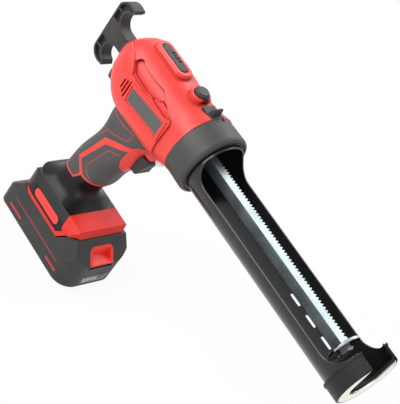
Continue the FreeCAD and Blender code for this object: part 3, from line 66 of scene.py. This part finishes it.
class Nodes:
    """A short way to write the node tree of a material or of the world."""

    def __init__(self, name, world=False):
        self.owner = (bpy.data.worlds if world else bpy.data.materials).new(name)
        self.owner.use_nodes = True
        self.tree = self.owner.node_tree
        self.tree.nodes.clear()
        self.output = self.add("OutputWorld" if world else "OutputMaterial")

    def add(self, kind, **settings):
        node = self.tree.nodes.new("ShaderNode" + kind)
        for key, value in settings.items():
            setattr(node, key, value)
        return node

    def link(self, source, target):
        self.tree.links.new(source, target)

    def math(self, operation, a, b):
        node = self.add("Math", operation=operation)
        for socket, value in zip(node.inputs, (a, b)):
            if isinstance(value, float):
                socket.default_value = value
            else:
                self.link(value, socket)
        return node.outputs[0]

    def ramp(self, source, low, high, a=0.0, b=1.0):
        """Map source from low..high to a..b, clamped."""
        node = self.add("MapRange")
        for name, value in (("From Min", low), ("From Max", high), ("To Min", a), ("To Max", b)):
            node.inputs[name].default_value = value
        self.link(source, node.inputs["Value"])
        return node.outputs["Result"]

    def noise(self, scale, detail=3.0, stretch=None):
        """Noise over object space; stretch squeezes it along an axis."""
        place = self.add("TexCoord").outputs["Object"]
        if stretch:
            mapping = self.add("Mapping")
            mapping.inputs["Scale"].default_value = stretch
            self.link(place, mapping.inputs["Vector"])
            place = mapping.outputs["Vector"]
        node = self.add("TexNoise")
        node.inputs["Scale"].default_value = scale
        node.inputs["Detail"].default_value = detail
        self.link(place, node.inputs["Vector"])
        return node.outputs["Fac"]

    def blend(self, factor, a, b):
        """A colour between a and b, each a tuple or a socket."""
        node = self.add("Mix", data_type="RGBA")
        self.link(factor, node.inputs["Factor"])
        for name, value in (("A", a), ("B", b)):
            socket = [s for s in node.inputs if s.name == name and s.type == "RGBA"][0]
            if isinstance(value, tuple):
                socket.default_value = (*value, 1.0)
            else:
                self.link(value, socket)
        return [s for s in node.outputs if s.type == "RGBA"][0]

    def soft_edges(self, radius):
        """Normals rounded over sharp edges, and a mask that is 1 on those edges."""
        bevel = self.add("Bevel", samples=6)
        bevel.inputs["Radius"].default_value = radius
        plain = self.add("NewGeometry")
        dot = self.add("VectorMath", operation="DOT_PRODUCT")
        self.link(bevel.outputs["Normal"], dot.inputs[0])
        self.link(plain.outputs["Normal"], dot.inputs[1])
        return bevel.outputs["Normal"], self.ramp(dot.outputs["Value"], 0.985, 0.86)

    def creases(self, reach):
        """A mask that is 1 in the piece's own narrow creases, where painted shade goes."""
        node = self.add("AmbientOcclusion", samples=4, only_local=True)
        node.inputs["Distance"].default_value = reach
        return self.ramp(node.outputs["AO"], 0.95, 0.60)

    def bump(self, height, distance, strength, normal):
        node = self.add("Bump")
        node.inputs["Strength"].default_value = strength
        node.inputs["Distance"].default_value = distance
        self.link(height, node.inputs["Height"])
        self.link(normal, node.inputs["Normal"])
        return node.outputs["Normal"]

    def seen_plainly(self):
        """1 for rays from the camera, from gloss and through glass, else 0."""
        rays = self.add("LightPath").outputs
        seen = self.math("ADD", rays["Is Camera Ray"], rays["Is Glossy Ray"])
        return self.math("MINIMUM", self.math("ADD", seen, rays["Is Transmission Ray"]), 1.0)

    def finish(self, color, roughness, normal, metallic=0.0, **sockets):
        """Close the tree with a Principled shader; plain values go on its own sockets."""
        shader = self.add("BsdfPrincipled")
        for name, source in (("Base Color", color), ("Roughness", roughness), ("Normal", normal)):
            self.link(source, shader.inputs[name])
        shader.inputs["Metallic"].default_value = metallic
        for name, value in sockets.items():
            shader.inputs[name.replace("_", " ")].default_value = value
        self.link(shader.outputs["BSDF"], self.output.inputs["Surface"])
        return self.owner


def moulded(name, base, shade, edge_wear_and_highlight, rough, grain=1800.0, depth=0.00004, radius=0.0006,
            crease_shade=None, **sockets):
    """Moulded plastic or rubber with fine grain and faint blotches.

    Edges are paler, partly as rubbed wear and partly as a painted highlight, and narrow creases
    are darkened as painted shade where a colour for them is given.
    """
    n = Nodes(name)
    normal, edges = n.soft_edges(radius)
    blotch = n.noise(BLOTCH_SCALE, 4.0)
    color = n.blend(n.ramp(blotch, 0.35, 0.65), base, shade)
    # Paler edges where the noise allows: part rubbed wear, part painted highlight.
    worn_and_lit_edges = n.math("MULTIPLY", edges, n.ramp(n.noise(WEAR_AND_SHEEN_SCALE), 0.3, 0.7, 0.35, 1.0))
    color = n.blend(worn_and_lit_edges, color, edge_wear_and_highlight)
    if crease_shade:
        # Painted shade: narrow creases darken towards the given colour.
        color = n.blend(n.creases(CREASE_SHADE_REACH), color, crease_shade)
    fine = n.noise(grain, 2.0)
    roughness = n.ramp(blotch, 0.3, 0.7, rough - 0.05, rough + 0.06)
    return n.finish(color, roughness, n.bump(fine, depth, 0.5, normal), **sockets)


def turned(name, base, dark, rough, stretch, scale=900.0, radius=0.0004):
    """Bare metal with fine lines drawn along one way."""
    n = Nodes(name)
    normal, edges = n.soft_edges(radius)
    lines = n.noise(scale, 3.0, stretch)
    cloud = n.noise(CLOUD_SCALE, 4.0)
    color = n.blend(n.ramp(lines, 0.3, 0.7), base, dark)
    # Sharp edges are brighter: a painted highlight.
    color = n.blend(edges, color, tuple(min(1.0, c * METAL_EDGE_HIGHLIGHT_GAIN) for c in base))
    roughness = n.ramp(cloud, 0.3, 0.7, rough - 0.06, rough + 0.08)
    return n.finish(color, roughness, n.bump(lines, 0.00002, 0.35, normal), metallic=1.0)


def milky(name):
    """Milky clear plastic of the work light."""
    n = Nodes(name)
    normal, edges = n.soft_edges(0.0005)
    cloud = n.noise(220.0)
    color = n.blend(n.ramp(cloud, 0.3, 0.7), (0.92, 0.95, 0.94), (0.86, 0.90, 0.88))
    # Sharp edges are paler: a painted highlight.
    color = n.blend(edges, color, (0.98, 0.99, 0.98))
    roughness = n.ramp(cloud, 0.3, 0.7, 0.10, 0.18)
    return n.finish(color, roughness, normal, Transmission_Weight=0.15, IOR=1.49)


# The paler colour for edges in each moulded finish is partly rubbed wear and partly a painted
# highlight.
# Red plastics.
# Its darkest colour, given for creases, is painted shade.
RED = moulded(
    "red_shell", (0.77, 0.045, 0.034), (0.72, 0.038, 0.030), (0.86, 0.10, 0.08), 0.42,
    crease_shade=(0.42, 0.014, 0.011), Specular_IOR_Level=0.36, Coat_Weight=0.08, Coat_Roughness=0.3)
# A darker copy of the shell's red for the foot band, which sits lower: painted shade.
SHADED_BAND_RED = moulded(
    "shaded_band_red", (0.66, 0.026, 0.020), (0.61, 0.022, 0.017), (0.76, 0.06, 0.05), 0.56,
    Specular_IOR_Level=0.3)
KEY_RED = moulded(
    "key_red", (0.86, 0.030, 0.024), (0.82, 0.026, 0.020), (0.92, 0.08, 0.06), 0.45)

# Dark plastics, rubber and paint.
DARK = moulded(
    "black_plastic", (0.036, 0.035, 0.034), (0.030, 0.029, 0.029), (0.10, 0.098, 0.096), 0.5,
    Specular_IOR_Level=0.32)
FOOT = moulded(
    "foot_plastic", (0.008, 0.0078, 0.0078), (0.0065, 0.0065, 0.0065), (0.05, 0.048, 0.047), 0.34,
    Specular_IOR_Level=0.20)
CAP = moulded(
    "cap_plastic", (0.016, 0.016, 0.016), (0.013, 0.013, 0.013), (0.06, 0.06, 0.06), 0.42,
    Specular_IOR_Level=0.25)
COLLAR = moulded(
    "collar_plastic", (0.052, 0.050, 0.048), (0.044, 0.043, 0.042), (0.10, 0.098, 0.096), 0.52,
    Specular_IOR_Level=0.36)
# The colour given for creases is painted shade in the grip's grooves.
RUBBER = moulded(
    "grip_rubber", (0.060, 0.058, 0.056), (0.050, 0.049, 0.048), (0.09, 0.088, 0.086), 0.62,
    grain=2600.0, depth=0.00008, crease_shade=(0.016, 0.016, 0.015))
PLATE = moulded(
    "grey_plate", (0.084, 0.081, 0.078), (0.076, 0.074, 0.071), (0.12, 0.117, 0.113), 0.58)
# Its paler colour for edges is mostly a painted highlight on the tube's rims, mixed with wear.
PAINT = moulded(
    "black_paint", (0.012, 0.012, 0.0125), (0.010, 0.010, 0.0105), (0.05, 0.05, 0.05), 0.24,
    grain=700.0, depth=0.00002, Specular_IOR_Level=0.36, Coat_Weight=0.16, Coat_Roughness=0.12)
GAUGE = moulded(
    "gauge_grey", (0.17, 0.17, 0.17), (0.14, 0.14, 0.14), (0.35, 0.35, 0.35), 0.45)

# Pieces inside.
BOARD = moulded(
    "board_lacquer", (0.02, 0.13, 0.05), (0.015, 0.10, 0.04), (0.05, 0.2, 0.1), 0.4)
WRAP = moulded(
    "cell_wrap", (0.05, 0.13, 0.25), (0.04, 0.11, 0.22), (0.1, 0.2, 0.3), 0.4)
CAN = moulded(
    "motor_can", (0.12, 0.12, 0.13), (0.10, 0.10, 0.11), (0.3, 0.3, 0.3), 0.4)

# Metals, with the way that their lines are drawn.
ALONG_X, ALONG_Y, ALONG_Z = (0.05, 1.0, 1.0), (1.0, 0.2, 1.0), (1.0, 1.0, 0.1)
ANY_WAY = (1.0, 1.0, 1.0)
ZINC = turned("zinc", (0.38, 0.44, 0.46), (0.30, 0.36, 0.38), 0.47, ALONG_X)
PLATED = turned("bright_plating", (0.50, 0.52, 0.54), (0.42, 0.44, 0.46), 0.15, ALONG_Z)
STEEL = turned("bright_steel", (0.62, 0.62, 0.63), (0.50, 0.50, 0.51), 0.28, ALONG_Z)
DARK_STEEL = turned("dark_steel", (0.17, 0.17, 0.175), (0.12, 0.12, 0.125), 0.4, ALONG_Z)
CREAM = turned("plate_steel", (0.90, 0.90, 0.80), (0.82, 0.82, 0.72), 0.42, ALONG_Y)
ALLOY = turned("case_alloy", (0.60, 0.60, 0.61), (0.50, 0.50, 0.51), 0.5, ANY_WAY, 300.0)
BRASS = turned("contact_brass", (0.80, 0.62, 0.28), (0.70, 0.52, 0.22), 0.3, ALONG_Z)
LENS = milky("lens")

# Thin trim, whose edges round off over less.
TRIM_EDGE = 0.0001
TRIM_RED = moulded(
    "trim_red", (0.50, 0.035, 0.030), (0.45, 0.030, 0.026), (0.58, 0.06, 0.05), 0.55,
    radius=TRIM_EDGE)
BARS = moulded(
    "gauge_bars", (0.46, 0.47, 0.47), (0.40, 0.41, 0.41), (0.60, 0.60, 0.60), 0.35,
    radius=TRIM_EDGE)
# Near-black for the screws' cross recesses: painted shade.
RECESS_SHADE = moulded(
    "painted_recess_shade", (0.012, 0.012, 0.012), (0.010, 0.010, 0.010), (0.03, 0.03, 0.03), 0.6,
    radius=TRIM_EDGE)

FINISHES = {
    RED: "right_shell left_shell foot_inlays",
    SHADED_BAND_RED: "foot_band",
    KEY_RED: "battery_key",
    DARK: "dial_bezel trigger_switch front_guide rear_guide terminal_block pull_handle trigger "
          "release_button speed_dial collar_latch battery_tray battery_cover",
    FOOT: "foot_housing",
    CAP: "front_cap",
    COLLAR: "collar",
    RUBBER: "rear_grip_rubber palm_grip_rubber rear_bumper",
    PLATE: "side_plate",
    PAINT: "cradle_tube",
    GAUGE: "gauge_panel gauge_button",
    BOARD: "control_board battery_board",
    WRAP: "battery_cells",
    CAN: "motor",
    ZINC: "rack",
    PLATED: "pusher_plate",
    STEEL: "housing_screws shaft_bearings handle_screw drive_pinion pinion_shaft",
    DARK_STEEL: "pusher_bolt trigger_spring release_spring key_spring",
    CREAM: "front_plate",
    ALLOY: "gear_case",
    BRASS: "terminal_blades",
    LENS: "work_light_lens",
}
for material, names in FINISHES.items():
    for name in names.split():
        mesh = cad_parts[name].data
        mesh.materials.clear()
        mesh.materials.append(material)

# Trim that lies on the CAD faces. Its sizes and places are in millimetres.
RAY_START = 90
BAND_CROWN = 0.75


def face_tree(node):
    """A tree for ray casts on the faces of a CAD node."""
    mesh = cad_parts[node].data
    return BVHTree.FromPolygons(
        [v.co.copy() for v in mesh.vertices], [list(p.vertices) for p in mesh.polygons])


def eased(corners, cut, steps=5):
    """A line through X and Z corners, with each bend rounded over a cut length."""
    points = [Vector(corners[0])]
    for before, corner, after in zip(corners, corners[1:], corners[2:]):
        corner = Vector(corner)
        start = corner + (Vector(before) - corner).normalized() * cut
        end = corner + (Vector(after) - corner).normalized() * cut
        for k in range(steps + 1):
            s = k / steps
            points.append(start * (1 - s) ** 2 + corner * 2 * s * (1 - s) + end * s * s)
    points.append(Vector(corners[-1]))
    return points


def stepped(points, step):
    """The same line with points no further apart than a step."""
    fine = [points[0]]
    for a, b in zip(points, points[1:]):
        count = max(1, math.ceil((b - a).length / step))
        fine += [a.lerp(b, k / count) for k in range(1, count + 1)]
    return fine


def met(tree, rays):
    """Places and outward normals where rays meet the faces."""
    hits = []
    for start, way in rays:
        place, normal, _, _ = tree.ray_cast(start, way)
        if place:
            hits.append((place, normal if normal.dot(way) < 0 else -normal))
    return hits


def from_side(line, side):
    """Rays onto a line in X and Z from one side of the tool."""
    return [(spot(x, side * RAY_START, z), Vector((0, -side, 0))) for x, z in line]


def band(bm, hits, width, rise=0.15, sink=0.35):
    """A low band through places on a face, narrower at its top."""
    rings = []
    for k, (place, normal) in enumerate(hits):
        along = hits[min(k + 1, len(hits) - 1)][0] - hits[max(k - 1, 0)][0]
        foot = normal.cross(along).normalized() * width / 2 * MM
        crown = foot * BAND_CROWN
        low, high = -normal * sink * MM, normal * rise * MM
        ring = (place - foot + low, place - crown + high, place + crown + high, place + foot + low)
        rings.append([bm.verts.new(p) for p in ring])
    for a, b in zip(rings, rings[1:]):
        for i in range(4):
            bm.faces.new((a[i], a[(i + 1) % 4], b[(i + 1) % 4], b[i]))
    bm.faces.new(rings[0][::-1])
    bm.faces.new(rings[-1])


def pad(bm, loop, up, rise=0.15, sink=0.3, inset=0.2):
    """A low pad over a flat closed loop of points, with a sloped rim."""
    middle = sum(loop, Vector()) / len(loop)
    low = [bm.verts.new(p - up * sink * MM) for p in loop]
    high = []
    for p in loop:
        inward = (middle - p).normalized() * inset * MM
        high.append(bm.verts.new(p + inward + up * rise * MM))
    count = len(loop)
    for i in range(count):
        bm.faces.new((low[i], low[(i + 1) % count], high[(i + 1) % count], high[i]))
    bm.faces.new(low[::-1])
    bm.faces.new(high)


def capsule(start, end, width, steps=10):
    """Outline in X and Z of a bar with round ends."""
    start, end = Vector(start), Vector(end)
    along = (end - start).normalized()
    across = Vector((-along.y, along.x))
    loop = []
    for centre, sign in ((end, 1), (start, -1)):
        for k in range(steps + 1):
            angle = math.pi * (k / steps - 0.5)
            way = along * math.cos(angle) + across * math.sin(angle)
            loop.append(centre + sign * width / 2 * way)
    return loop


def rounded_box(half_u, half_v, radius, steps=4):
    """Outline of a rectangle with round corners, about its middle."""
    loop = []
    for k, (u, v) in enumerate(((1, 1), (-1, 1), (-1, -1), (1, -1))):
        for s in range(steps + 1):
            angle = math.pi / 2 * (k + s / steps)
            loop.append((u * (half_u - radius) + radius * math.cos(angle),
                         v * (half_v - radius) + radius * math.sin(angle)))
    return loop


def cross(half, arm):
    """Outline of a cross recess."""
    corner = ((half, arm), (arm, arm), (arm, half))
    loop = []
    for k in range(4):
        turn = Matrix.Rotation(math.pi / 2 * k, 2)
        loop += [turn @ Vector(c) for c in corner]
    return loop


def piece(bm, name, body, material):
    """Close a mesh, give it its finish and let it ride on a body."""
    bmesh.ops.recalc_face_normals(bm, faces=bm.faces)
    mesh = bpy.data.meshes.new(name)
    bm.to_mesh(mesh)
    bm.free()
    mesh.materials.append(material)
    obj = bpy.data.objects.new(name, mesh)
    bpy.context.scene.collection.objects.link(obj)
    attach(obj, body)


# Thin bright lines let into the soft grips, alike on both sides.
LINE_WIDTH, LINE_BEND, LINE_STEP = 0.85, 1.2, 1.0
REAR_LINE = ((-98.0, -36.2), (-90.8, -37.9), (-81.9, -37.8), (-72.7, -35.4), (-68.8, -34.9),
             (-69.1, -43.6), (-78.5, -49.8), (-89.0, -54.6), (-95.1, -56.5), (-98.3, -66.2))
PALM_LINE = ((-68.6, -62.2), (-73.1, -64.7), (-81.5, -69.3), (-87.3, -85.1), (-92.7, -101.8),
             (-89.9, -104.8), (-85.0, -107.4), (-79.4, -110.9))
for name, corners, node in (("rear_grip_line", REAR_LINE, "rear_grip_rubber"),
                            ("palm_grip_line", PALM_LINE, "palm_grip_rubber")):
    tree = face_tree(node)
    line = stepped(eased(corners, LINE_BEND), LINE_STEP)
    bm = bmesh.new()
    for side in SIDES:
        band(bm, met(tree, from_side(line, side)), LINE_WIDTH)
    piece(bm, name, "housing", TRIM_RED)

# Thin stripe and two short bars on each side of the battery.
STRIPE = (Vector((-124.4, -182.4)), Vector((-48.5, -182.4)))
STRIPE_WIDTH, STRIPE_STEP = 0.9, 2.0
SIDE_BARS = (((-126.6, -192.4), (-108.2, -192.4)), ((-61.2, -190.8), (-45.4, -190.8)))
SIDE_BAR_WIDTH = 2.4
BATTERY_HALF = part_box("battery_tray")[1].y
tree = face_tree("battery_tray")
bm = bmesh.new()
for side in SIDES:
    band(bm, met(tree, from_side(stepped(STRIPE, STRIPE_STEP), side)), STRIPE_WIDTH)
    for start, end in SIDE_BARS:
        loop = [spot(x, 0, z) for x, z in capsule(start, end, SIDE_BAR_WIDTH)]
        pad(bm, [Vector((p.x, side * BATTERY_HALF, p.z)) for p in loop], Vector((0, side, 0)))
piece(bm, "battery_stripes", "battery", TRIM_RED)

# Charge bars of the gauge.
CHARGE_BARS, FIRST_BAR_Y, BAR_PITCH = 4, -9.6, 4.6
BAR_HALF_WIDTH, BAR_HALF_HEIGHT, BAR_CORNER, BAR_RISE = 1.7, 2.3, 0.6, 0.12
GAUGE_LOW, GAUGE_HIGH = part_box("gauge_panel")
gauge_z = (GAUGE_LOW.z + GAUGE_HIGH.z) / 2
bm = bmesh.new()
for k in range(CHARGE_BARS):
    y = FIRST_BAR_Y + BAR_PITCH * k
    outline = rounded_box(BAR_HALF_WIDTH, BAR_HALF_HEIGHT, BAR_CORNER)
    loop = [Vector((GAUGE_HIGH.x, (y + u) * MM, gauge_z + v * MM)) for u, v in outline]
    pad(bm, loop, Vector((1, 0, 0)), BAR_RISE)
piece(bm, "gauge_bars", "battery", BARS)

# Cross recesses of the screws, drawn as low near-black pads whose colour is painted shade. Their
# heads are on the left side.
CROSS_HALF, CROSS_ARM = 1.7, 0.45
CROSS_RISE, CROSS_SINK, CROSS_INSET = 0.03, 0.2, 0.05
SHELL_SCREWS = ((-119.0, 12.0), (-34.0, 19.0), (-34.0, -24.0), (-104.0, -82.0), (-82.0, -101.0))
HANDLE_SCREW = ((-144.0, 0.0),)
for name, places, node, body in (
        ("housing_screw_crosses", SHELL_SCREWS, "housing_screws", "housing"),
        ("handle_screw_cross", HANDLE_SCREW, "handle_screw", "plunger")):
    head_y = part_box(node)[1].y
    bm = bmesh.new()
    for x, z in places:
        middle = spot(x, 0, z)
        loop = [Vector((middle.x + u * MM, head_y, middle.z + v * MM))
                for u, v in cross(CROSS_HALF, CROSS_ARM)]
        pad(bm, loop, Vector((0, 1, 0)), CROSS_RISE, CROSS_SINK, CROSS_INSET)
    piece(bm, name, body, RECESS_SHADE)

# Camera at the photograph's angle. The image is 400 by 404 pixels.
HIGH_PX = 404.0
FOCAL_PX = 1180.1
SENSOR = 36.0
TURN, LIFT, ROLL = math.radians(21.433), math.radians(38.996), math.radians(38.645)
DISTANCE = 983.2 * MM
AIM = spot(9.676, 0, -33.502)
back = Vector((
    math.sin(TURN), -math.cos(TURN) * math.cos(LIFT), math.cos(TURN) * math.sin(LIFT)))
level = (-back).cross(Vector((0, 0, 1))).normalized()
upright = level.cross(-back)
right = math.cos(ROLL) * level + math.sin(ROLL) * upright
up = math.cos(ROLL) * upright - math.sin(ROLL) * level
camera_data = bpy.data.cameras.new("camera")
camera_data.sensor_fit = "VERTICAL"
camera_data.sensor_height = SENSOR
camera_data.lens = SENSOR * FOCAL_PX / HIGH_PX
camera = bpy.data.objects.new("camera", camera_data)
bpy.context.scene.collection.objects.link(camera)
turned_to_aim = Matrix((right, up, back)).transposed().to_4x4()
camera.matrix_world = Matrix.Translation(AIM + DISTANCE * back) @ turned_to_aim
bpy.context.scene.camera = camera

# Floor and light.
FLOOR_REACH = 6.0
FLOOR_DROP = 0.0004
FLOOR_GLOW = 0.92
WORLD_STRENGTH = 0.45


def white_floor():
    """Pale floor that the camera sees almost white, with a faint shadow."""
    n = Nodes("floor")
    shader = n.add("BsdfPrincipled")
    shade = n.blend(n.ramp(n.noise(3.0), 0.3, 0.7), (0.86, 0.86, 0.86), (0.84, 0.84, 0.84))
    n.link(shade, shader.inputs["Base Color"])
    shader.inputs["Roughness"].default_value = 0.9
    glow = n.add("Emission")
    glow.inputs["Color"].default_value = WHITE
    mix = n.add("MixShader")
    n.link(n.math("MULTIPLY", n.seen_plainly(), FLOOR_GLOW), mix.inputs["Fac"])
    n.link(shader.outputs["BSDF"], mix.inputs[1])
    n.link(glow.outputs["Emission"], mix.inputs[2])
    n.link(mix.outputs["Shader"], n.output.inputs["Surface"])
    return n.owner


def white_world(strength):
    """Even light from all around, seen as white."""
    n = Nodes("studio", world=True)
    sky = n.add("Background")
    sky.inputs["Color"].default_value = WHITE
    n.link(n.ramp(n.seen_plainly(), 0.0, 1.0, strength, 1.0), sky.inputs["Strength"])
    n.link(sky.outputs["Background"], n.output.inputs["Surface"])
    return n.owner


def softbox(name, direction, distance, size, power):
    """A square area light that looks at the tool from a direction."""
    data = bpy.data.lights.new(name, "AREA")
    data.shape = "RECTANGLE"
    data.size, data.size_y = size
    data.energy = power
    lamp = bpy.data.objects.new(name, data)
    lamp.visible_camera = False
    bpy.context.scene.collection.objects.link(lamp)
    away = Vector(direction).normalized()
    lamp.location = AIM + away * distance
    lamp.rotation_mode = "QUATERNION"
    lamp.rotation_quaternion = away.to_track_quat("Z", "Y")


floor_mesh = bpy.data.meshes.new("floor")
floor_mesh.from_pydata(
    [(-FLOOR_REACH, -FLOOR_REACH, 0), (FLOOR_REACH, -FLOOR_REACH, 0),
     (FLOOR_REACH, FLOOR_REACH, 0), (-FLOOR_REACH, FLOOR_REACH, 0)], [], [(0, 1, 2, 3)])
floor_mesh.materials.append(white_floor())
floor = bpy.data.objects.new("floor", floor_mesh)
bpy.context.scene.collection.objects.link(floor)
floor.location.z = -FLOOR_DROP

softbox("key", (-0.75, -0.85, 0.75), distance=1.1, size=(0.8, 0.8), power=12.0)
softbox("sky", (-0.36, 0.72, 0.60), distance=1.7, size=(1.6, 1.0), power=16.0)
softbox("front", (0.9, -0.5, 0.25), distance=1.6, size=(0.8, 1.2), power=7.0)

bpy.context.scene.world = white_world(WORLD_STRENGTH)
bpy.context.scene.view_settings.view_transform = "Standard"
